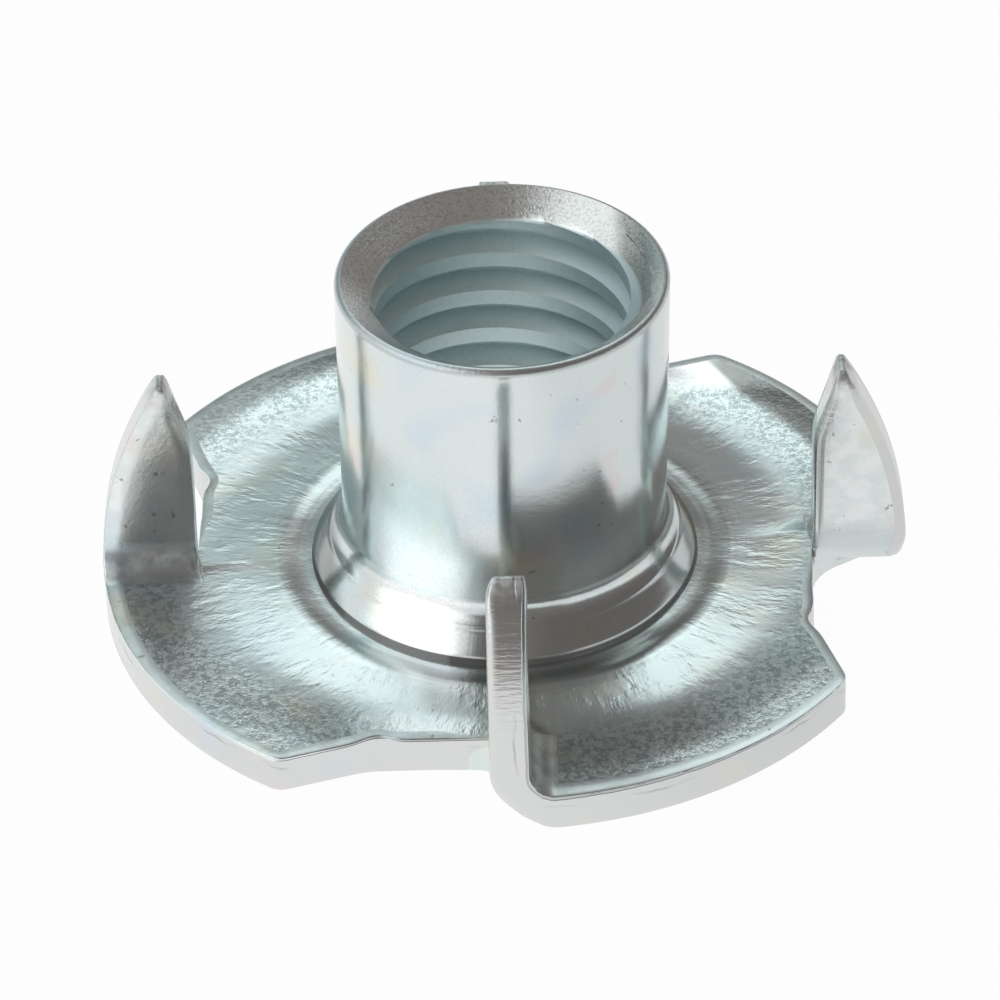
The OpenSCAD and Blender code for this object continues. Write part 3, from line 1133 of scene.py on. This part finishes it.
def drawn_barrel(tones):
    """Zinc on the drawn barrel, which the die leaves smooth, with faint streaks up its wall.

    It mirrors the room almost as a polished bar would. Its rubbed lip and its crease are rougher.
    Painted shade darkens the crease and the foot in patches; a painted highlight lies low on the front
    left.
    """
    g = MetalGraph("zinc_plated_drawn_barrel", tones)
    x, y, z = g.x, g.y, g.z
    streak_depth, swell_depth, grain_depth, rub_depth = 0.0008, 0.012, 0.0012, 0.012
    wall_rough, lip_rough, crease_rough = 0.16, 0.32, 0.35

    # the die's streaks are drawn coarser than they are, to show
    streaks = g.add(NOISE, {"Vector": g.polar(45.0, upward=0.25), "Scale": 1.0})
    swell = g.add(NOISE, {"Vector": g.place, "Scale": 0.7, "Detail": 1.0})
    grain = g.add(NOISE, {"Vector": g.place, "Scale": 9.0, "Roughness": 0.6})
    rubbed = g.add(NOISE, {"Vector": g.place, "Scale": 9.0, "Detail": 3.0, "Roughness": 0.7})
    lip = g.fade((z, 9.95, 10.1))
    height = g.total(
        g.product(streaks, streak_depth),
        g.product(swell, swell_depth),
        g.product(grain, grain_depth),
        g.product(lip, rubbed, rub_depth),
    )

    # painted shade in the crease and in patches along the foot, and a painted highlight low on the front
    # left
    # crease: painted shade along the foot's crease, fainter to the right
    crease = g.product(g.window(z, 1.0, 1.27, 0.03), g.fade((x, -1.0, 2.5), low=1.0, high=0.12))
    painted_highlight = g.product(g.window(x, -3.0, -1.4, 0.7), g.fade((y, -2.0, -3.0), (z, 5.5, 3.4)))
    right_foot_painted_shade = g.fade((x, 0.2, 1.4), (y, 1.0, -1.0), (z, 2.3, 2.0), high=0.3)
    left_foot_painted_shade = g.fade((x, -4.3, -4.8), (z, 2.9, 2.3), high=0.58)
    front_foot_painted_shade = g.product(g.window(x, -1.3, 0.0, 0.4), g.fade((z, 2.5, 2.0), high=0.38))
    cloudy = g.add(NOISE, {"Vector": g.place, "Scale": 13.0, "Roughness": 0.7})
    mottle = g.product(g.fade((cloudy, 0.42, 0.6)), g.fade((z, 4.0, 7.0), low=0.16, high=0.07))
    colour = g.coat(
        g.tinted(tones.zinc, 0.45),
        (painted_highlight, WHITE),
        (mottle, tones.zinc_dull),
        (g.total(g.product(crease, 0.85), right_foot_painted_shade, left_foot_painted_shade, front_foot_painted_shade), tones.speck_and_shade),
        (g.specks(0.69), tones.speck_and_shade),
        (g.product(lip, 0.3), tones.speck_and_shade),
    )
    polish = g.fade((lip, 0.0, 1.0), low=wall_rough, high=lip_rough)
    return g.finish(colour, g.total(polish, g.product(crease, crease_rough)), height)


def rolled_sheet(tones):
    """Zinc on the sheet as it was rolled: smooth, a little wavy, and rubbed dull at the points.

    It gives the prongs soft, blurred reflections, with a faint bloom over them. Painted shade
    darkens the fold's hollow and a patch on the left prong.
    """
    g = MetalGraph("zinc_plated_rolled_sheet", tones)
    x, z = g.x, g.z
    wave_depth, grain_depth, tilt = 0.05, 0.005, 0.27
    sheet_rough, point_rough, bend_rough = 0.26, 0.4, 0.2

    waves = g.add(NOISE, {"Vector": g.place, "Scale": 0.55, "Detail": 1.0})
    grain = g.add(NOISE, {"Vector": g.place, "Scale": 8.0, "Detail": 3.0, "Roughness": 0.7})
    cloudy = g.add(NOISE, {"Vector": g.place, "Scale": 1.6, "Detail": 3.0, "Roughness": 0.6})
    bloom = g.fade((cloudy, 0.35, 0.65))
    height = g.total(
        g.product(waves, wave_depth),
        g.product(grain, grain_depth),
        g.fade((z, 1.9, 7.0), high=tilt),
    )

    # the prongs are a little darker towards the bend; painted shade lies in the fold's hollow,
    # but for the right prong's, and on a patch of the left prong
    plain = g.total(g.product(bloom, 0.7), g.fade((z, 1.7, 2.4), low=0.8, high=0.0))
    slant = g.total(x, g.product(z, -0.84))
    left_prong = g.fade((x, -10.5, -10.28), (slant, -13.85, -13.6), (x, -7.8, -8.2), (z, 1.9, 2.1))
    left_painted_shade = g.product(left_prong, g.fade((bloom, 0.0, 1.0), low=0.18, high=0.05))
    # hollow: where painted shade lies in the fold
    hollow = g.product(g.window(z, 1.2, 1.6, 0.25), g.fade((x, 6.0, 3.0)))
    fold_painted_shade = g.product(hollow, g.fade((bloom, 0.0, 1.0), low=0.62, high=0.35))
    colour = g.coat(
        g.tinted(g.coat(tones.zinc_bright, (plain, tones.zinc)), 0.4),
        (g.worn_point(), tones.speck_and_shade),
        (g.specks(0.66), tones.speck_and_shade),
        (left_painted_shade, tones.speck_and_shade),
        (fold_painted_shade, tones.speck_and_shade),
    )
    polish = g.fade((z, 6.0, 7.2), low=sheet_rough, high=point_rough)
    bend = g.window(z, 1.3, 1.7, 0.4)
    return g.finish(colour, g.total(polish, g.product(bend, bend_rough)), height)


def sheared_edge(tones):
    """The edges that the press cuts: rolled over, then burnished, then torn.

    The edge's own map gives the run along it and the depth down it. A groove with painted shade
    marks where the roll-over ends, and a fainter dark line where the burnished band gives way to the tear.
    """
    g = MetalGraph("zinc_plated_sheared_edge", tones)
    scratch_depth, roll_pits, face_pits, line_depth = 0.012, 0.004, 0.001, 0.01
    cut_rough, band_rough, point_rough = 0.16, 0.06, 0.3
    mapped = g.add("ShaderNodeUVMap", uv_map="edge")
    run, depth, _ = g.add("ShaderNodeSeparateXYZ", {0: mapped}).outputs

    # values that waver along the run: (lane of the noise, waves to the millimetre, detail)
    wavering = []
    for lane, scale, detail in ((0.0, 1.6, 3.0), (3.0, 0.8, 3.0), (7.0, 0.5, 2.0)):
        spot = g.add("ShaderNodeCombineXYZ", {"X": run, "Y": lane})
        wavering.append(g.add(NOISE, {"Vector": spot, "Scale": scale, "Detail": detail}))
    wander, drop, gaps = wavering
    line = g.window(g.total(depth, g.product(g.total(wander, -0.5), 0.06)), -0.02, 0.03, 0.03)
    tear = g.window(g.total(depth, g.product(drop, 0.5)), 0.5, 0.52, 0.04)
    tear = g.product(tear, g.fade((gaps, 0.45, 0.6)))
    below = g.fade((depth, 0.0, 0.1))

    # scratches run down the edge, as the shears drag; they are drawn coarser than they are, to show
    dragged = g.add("ShaderNodeCombineXYZ", {"X": g.product(run, 8.0), "Y": g.product(depth, 0.8)})
    scratches = g.add(NOISE, {"Vector": dragged, "Scale": 1.0, "Detail": 3.0, "Roughness": 0.6})
    pits = g.add(NOISE, {"Vector": g.place, "Scale": 9.0, "Roughness": 0.6})
    height = g.total(
        g.product(below, scratches, scratch_depth),
        g.product(pits, g.fade((depth, -0.1, 0.02), low=roll_pits, high=face_pits)),
        g.product(line, -line_depth),
        g.product(tear, -line_depth),
    )
    worn = g.fade((g.z, 6.3, 7.1), high=point_rough)
    roughness = g.total(cut_rough, g.product(below, band_rough), worn)
    # painted shade along the groove where the roll-over ends, fading out far to the left and right
    painted_line_shade = g.product(line, g.window(g.x, -4.0, 7.0, 1.5), 0.45)
    colour = g.coat(
        g.tinted(g.coat(tones.zinc, (below, tones.sheared)), 0.3),
        (g.chain("MAXIMUM", painted_line_shade, g.product(tear, 0.3)), tones.speck_and_shade),
        (g.worn_point(), tones.speck_and_shade),
    )
    return g.finish(colour, roughness, height)


def tapped_bore(tones):
    """The tapped thread, which the plating leaves duller and bluish, and the turned countersink.

    The tap leaves the flanks matt. The cutter's fine rings give the countersink its sheen.
    Painted shade darkens the bore's +X side and the countersink's right edge.
    """
    g = MetalGraph("zinc_plated_thread", tones)
    ring_depth, speckle_depth, chatter_depth = 0.003, 0.004, 0.01
    thread_rough, mouth_rough = 0.5, 0.24

    mouth = g.fade((g.z, 9.62, 9.7))
    rings = g.add(NOISE, {"Vector": g.polar(1.2, 22.0), "Scale": 1.0})
    speckle = g.add(NOISE, {"Vector": g.place, "Scale": 7.0, "Roughness": 0.6})
    chatter = g.add(NOISE, {"Vector": g.place, "Scale": 11.0, "Detail": 3.0, "Roughness": 0.7})
    chatter = g.product(mouth, chatter)
    height = g.total(
        g.product(mouth, rings, ring_depth),
        g.product(speckle, speckle_depth),
        g.product(chatter, chatter_depth),
    )
    roughness = g.fade((mouth, 0.0, 1.0), low=thread_rough, high=mouth_rough)
    # painted shade at the countersink's right edge, and stains where the cutter chattered
    shade_and_stain = g.total(g.product(g.window(g.x, 3.5, 3.9, 0.5), 0.55), g.fade((chatter, 0.5, 0.62), high=0.25))
    colour = g.coat(
        tones.tapped_zinc,
        # painted shade on the bore's +X side
        (g.fade((g.x, 0.6, 2.9), high=0.5), tones.tapped_shade_and_speckle),
        (g.fade((speckle, 0.45, 0.6), high=0.06), tones.tapped_shade_and_speckle),
        (mouth, tones.turned_zinc),
        (g.product(mouth, shade_and_stain), tones.speck_and_shade),
    )
    return g.finish(colour, roughness, height)


class NUT_OT_stamping(Operator):
    """Build the nut: flange, prongs, barrel and tapped bore as one closed skin"""

    bl_idname = "nut.stamping"
    bl_label = "Tee nut"

    def execute(self, context):
        form = Form(context.scene)
        finishes = (struck_flange, drawn_barrel, rolled_sheet, sheared_edge, tapped_bore)
        materials = [finish(context.scene.nut_zinc) for finish in finishes]
        values = {"Count": form.count, "Material": materials[SHEET]}
        prongs = run_tree(ring_tree(), make_quarter(form), values)
        mesh = bmesh.new()
        mesh.from_mesh(prongs)
        mesh.from_mesh(make_barrel(form))
        first_bore_face = len(mesh.faces)
        mesh.from_mesh(make_bore(form, materials[TAPPED]))
        mesh.faces.ensure_lookup_table()
        layer = mesh.faces.layers.int["finish"]
        for face in mesh.faces[first_bore_face:]:
            face[layer] = TAPPED
        bmesh.ops.remove_doubles(mesh, verts=mesh.verts, dist=SAME_JOINT)
        bmesh.ops.dissolve_degenerate(mesh, edges=mesh.edges, dist=SAME_POINT / 2)
        fill_flat(mesh, form.sheet_t, FLANGE)
        fill_flat(mesh, 0.0, SHEET)
        lean_barrel(mesh, form)
        bmesh.ops.recalc_face_normals(mesh, faces=mesh.faces)
        if not all(edge.is_manifold for edge in mesh.edges):
            raise RuntimeError("the nut's skin isn't closed")
        for face in mesh.faces:
            face.smooth = True
            face.material_index = face[layer]
        data = bpy.data.meshes.new("zinc_plated_nut")
        mesh.to_mesh(data)
        mesh.free()
        data.set_sharp_from_angle(angle=SHARP_ANGLE)
        nut = bpy.data.objects.new("zinc_plated_nut", data)
        context.scene.collection.objects.link(nut)
        for material in materials:
            data.materials.append(material)
        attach(nut, "root")
        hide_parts(NODE)
        return {"FINISHED"}


def compass(azimuth, elevation):
    """Unit vector towards a direction in degrees; azimuth 0 is +X and 90 is +Y."""
    a, e = radians(azimuth), radians(elevation)
    return (cos(e) * cos(a), cos(e) * sin(a), sin(e))


def make_room(tones):
    """A white room with a dark side to its right and behind, which gives the metal its contrast.

    x, y and z are the parts of the unit vector towards a place in the room: to the right, away
    from the camera and up.
    """
    # both lights are brighter than the walls' white
    skylight_tone, lamp_tone = (1.35, 1.5, 1.5, 1.0), (1.45, 1.5, 1.5, 1.0)
    world = bpy.data.worlds.new("studio")
    world.use_nodes = True
    g = Graph(world.node_tree)
    way = g.add("ShaderNodeTexCoord").outputs["Generated"]
    x, y, z = g.add("ShaderNodeSeparateXYZ", {0: way}).outputs

    def disc(azimuth, elevation, inner, outer):
        """1 inside a round patch of the room, easing to 0 between two angles from its middle."""
        links = {0: way, 1: compass(azimuth, elevation)}
        facing = g.add("ShaderNodeVectorMath", links, operation="DOT_PRODUCT").outputs["Value"]
        return g.fade((facing, cos(radians(outer)), cos(radians(inner))))

    behind = g.product(g.window(z, 0.16, 0.68, 0.06), g.fade((y, 0.36, 0.5)))
    back_tone = g.coat(tones.back_shade, (g.fade((x, -0.15, 0.05)), tones.back_shade_right))
    # the right side's border leans, and its lower edge drops towards the camera
    rightward = g.total(x, g.product(y, -0.12), g.product(z, 0.25))
    height = g.total(z, g.fade((y, -0.75, -0.85), high=0.12))
    beside = g.fade((rightward, -0.06, 0.0), (height, 0.09, 0.22))
    right = g.chain("MAXIMUM", beside, disc(-95, 48, 22, 30), disc(-90, 6, 8, 15))
    overhead = g.fade((z, 0.59, 0.71), (z, 0.98, 0.93), (y, 0.28, 0.45))
    skylight = g.product(overhead, g.fade((x, -0.58, -0.42), (x, 0.55, 0.35)))
    colour = g.coat(
        tones.room_walls,
        (behind, back_tone),
        (right, tones.right_shade),
        (skylight, skylight_tone),
        (disc(-148, 33, 20, 33), lamp_tone),
        (g.add("ShaderNodeLightPath").outputs["Is Camera Ray"], WHITE),
    )
    light = g.add("ShaderNodeBackground", {"Color": colour, "Strength": 1.0})
    g.add("ShaderNodeOutputWorld", {"Surface": light})
    return world


def make_floor(scene, tones):
    """A white floor that keeps the nut's shadow."""
    size = 0.4
    mesh = bpy.data.meshes.new("floor")
    corners = [(-size, -size, 0), (size, -size, 0), (size, size, 0), (-size, size, 0)]
    mesh.from_pydata(corners, [], [(0, 1, 2, 3)])
    material = bpy.data.materials.new("white_floor")
    material.use_nodes = True
    g = Graph(material.node_tree)
    paper = g.add("ShaderNodeBsdfDiffuse", {"Color": tones.floor})
    path = g.add("ShaderNodeLightPath").outputs
    place = g.add("ShaderNodeTexCoord").outputs["Object"]
    x = g.add("ShaderNodeSeparateXYZ", {0: place}).outputs["X"]
    # on the right, the metal mirrors a floor that is a little darker
    dim_start, dim_end, dimmest = -2 * MM, 12 * MM, 0.84
    mirrored = g.fade((x, dim_start, dim_end), low=1.0, high=dimmest)
    strength = g.chain("MAXIMUM", path["Is Camera Ray"], mirrored)
    white = g.add("ShaderNodeEmission", {"Color": WHITE, "Strength": strength})
    # a little of it is paper, which takes the shadow
    glow = 0.97
    rays = ("Is Camera Ray", "Is Glossy Ray", "Is Transmission Ray")
    share = g.product(g.chain("MAXIMUM", *(path[ray] for ray in rays)), glow)
    both = g.add("ShaderNodeMixShader", {0: share, 1: paper, 2: white})
    g.add("ShaderNodeOutputMaterial", {"Surface": both})
    mesh.materials.append(material)
    floor = bpy.data.objects.new("floor", mesh)
    scene.collection.objects.link(floor)


def make_camera(scene):
    """A long lens that looks down on the nut."""
    lens_mm = 259.18
    near, distance = 10 * MM, 196.84 * MM
    elevation, roll = radians(36.286), radians(-1.413)
    target = Vector((-0.0996, 0, 2.745)) * MM
    camera = bpy.data.cameras.new("camera")
    camera.lens = lens_mm
    camera.clip_start = near
    view = bpy.data.objects.new("camera", camera)
    spot = target + Vector((0, -cos(elevation), sin(elevation))) * distance
    aim = Matrix.Rotation(pi / 2 - elevation, 4, "X") @ Matrix.Rotation(roll, 4, "Z")
    view.matrix_world = Matrix.Translation(spot) @ aim
    scene.collection.objects.link(view)
    scene.camera = view


class NUT_OT_stage(Operator):
    """Add the floor, the light and the camera"""

    bl_idname = "nut.stage"
    bl_label = "Studio"

    def execute(self, context):
        scene = context.scene
        scene.view_settings.view_transform = "Standard"
        scene.world = make_room(scene.nut_studio)
        make_floor(scene, scene.nut_studio)
        make_camera(scene)
        return {"FINISHED"}


class NUT_PT_panel(Panel):
    """Lists the builders and their sizes"""

    bl_idname = "NUT_PT_panel"
    bl_label = "Tee Nut"
    bl_space_type = "VIEW_3D"
    bl_region_type = "UI"
    bl_category = "Tee Nut"

    def draw(self, context):
        for operator in OPERATORS:
            self.layout.operator(operator.bl_idname)
        for name, group in GROUPS.items():
            box = self.layout.box()
            for size in group.__annotations__:
                box.prop(getattr(context.scene, name), size)


GROUPS = {
    "nut_stamping": StampingSizes,
    "nut_prongs": ProngSizes,
    "nut_thread": ThreadSizes,
    "nut_zinc": ZincColours,
    "nut_studio": StudioColours,
}
OPERATORS = (NUT_OT_stamping, NUT_OT_stage)


def register():
    """Registers the classes and hangs the property groups on the scene."""
    for cls in (*GROUPS.values(), *OPERATORS, NUT_PT_panel):
        bpy.utils.register_class(cls)
    for name, group in GROUPS.items():
        setattr(bpy.types.Scene, name, PointerProperty(type=group))


def unregister():
    """Takes them away again."""
    for name in GROUPS:
        delattr(bpy.types.Scene, name)
    for cls in (NUT_PT_panel, *OPERATORS, *GROUPS.values()):
        bpy.utils.unregister_class(cls)


def main():
    """Builds everything in order."""
    register()
    bpy.ops.nut.stamping()
    bpy.ops.nut.stage()


if __name__ == "__main__":
    main()
